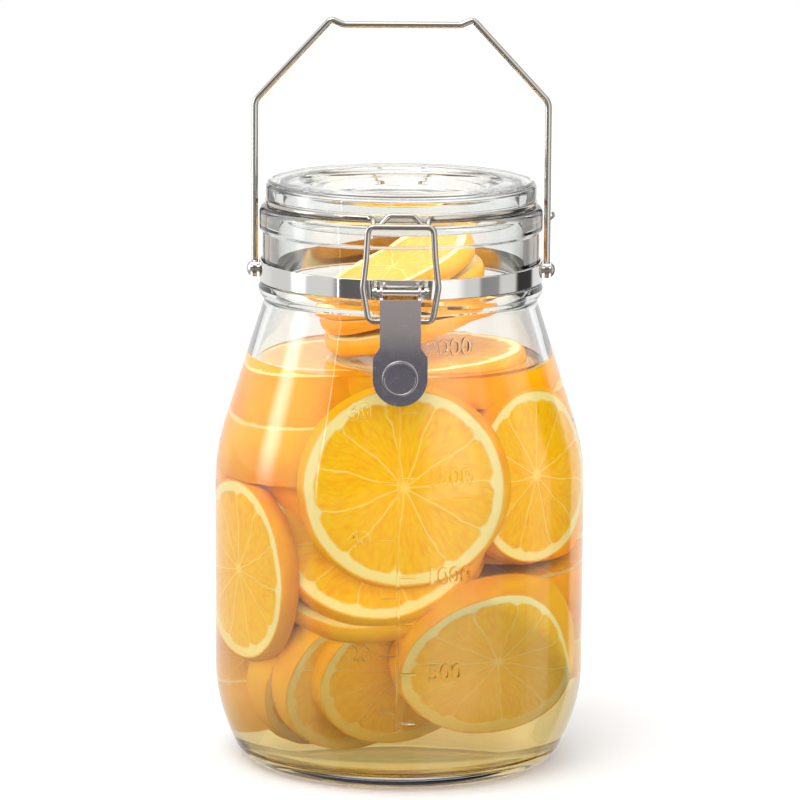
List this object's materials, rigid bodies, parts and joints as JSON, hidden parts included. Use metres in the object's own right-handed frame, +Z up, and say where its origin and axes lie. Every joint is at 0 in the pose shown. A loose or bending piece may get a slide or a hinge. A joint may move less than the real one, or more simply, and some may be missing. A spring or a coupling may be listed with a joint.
{
  "type": "clip-top glass storage jar of citrus slices in juice, with a wire handle",
  "caption": "Clip-top glass storage jar with a hinged glass lid, wire latch and swing-over wire handle, holding citrus slices in pale juice.",
  "frame": {"origin": "middle of the base, on the surface that the jar stands on", "axes": "+Z up; the latch faces -Y and the lid's hinge +Y; the handle's pivots lie along X"},
  "size_m": [0.14, 0.14, 0.2819],
  "materials": {
    "clear_glass": "clear, smooth, slightly wavy moulded glass",
    "clear_rubber": "translucent whitish silicone",
    "wire_steel": "bright drawn stainless wire",
    "band_steel": "polished stainless strip",
    "lever_steel": "satin stainless pressing",
    "pale_juice": "clear pale yellow liquid",
    "citrus_fruit": "wet citrus flesh, pale pith and waxy peel"
  },
  "bodies": {
    "jar_body": {"jar": "clear_glass", "neck_band": "band_steel", "front_bracket": "band_steel", "rear_bracket": "band_steel", "latch_pin": "wire_steel", "liquid": "pale_juice", "citrus_slice_1": "citrus_fruit", "citrus_slice_2": "citrus_fruit", "citrus_slice_3": "citrus_fruit", "citrus_slice_4": "citrus_fruit"},
    "lid_body": {"lid": "clear_glass", "gasket": "clear_rubber", "lid_wire": "wire_steel"},
    "lever_body": {"latch_lever": "lever_steel"},
    "loop_body": {"latch_loop": "wire_steel"},
    "studs_body": {"stud_right": "wire_steel", "stud_left": "wire_steel"},
    "handle_body": {"handle": "wire_steel"}
  },
  "joints": [
    {"name": "lid_open", "type": "hinge", "parent": "jar_body", "child": "lid_body", "pos_m": [0, 0.0575, 0.20305], "axis": [-1, 0, 0], "range_deg": [0, 100]},
    {"name": "lever_swing", "type": "hinge", "parent": "jar_body", "child": "lever_body", "pos_m": [0, -0.0588, 0.187], "axis": [-1, 0, 0], "range_deg": [0, 150]},
    {"name": "loop_swing", "type": "hinge", "parent": "lever_body", "child": "loop_body", "pos_m": [0, -0.0579, 0.17625], "axis": [1, 0, 0], "range_deg": [0, 270]},
    {"name": "studs_turn", "type": "hinge", "parent": "jar_body", "child": "studs_body", "pos_m": [0, 0, 0.187], "axis": [-1, 0, 0], "range_deg": [0, 100]},
    {"name": "handle_swing", "type": "hinge", "parent": "studs_body", "child": "handle_body", "pos_m": [0, 0, 0.187], "axis": [1, 0, 0], "range_deg": [-15, 115]}
  ],
  "couplings": [
    {"joint": "lever_swing", "follows": "lid_open", "ratio": 1.5},
    {"joint": "loop_swing", "follows": "lid_open", "ratio": 2.7},
    {"joint": "studs_turn", "follows": "lid_open", "ratio": 1}
  ]
}
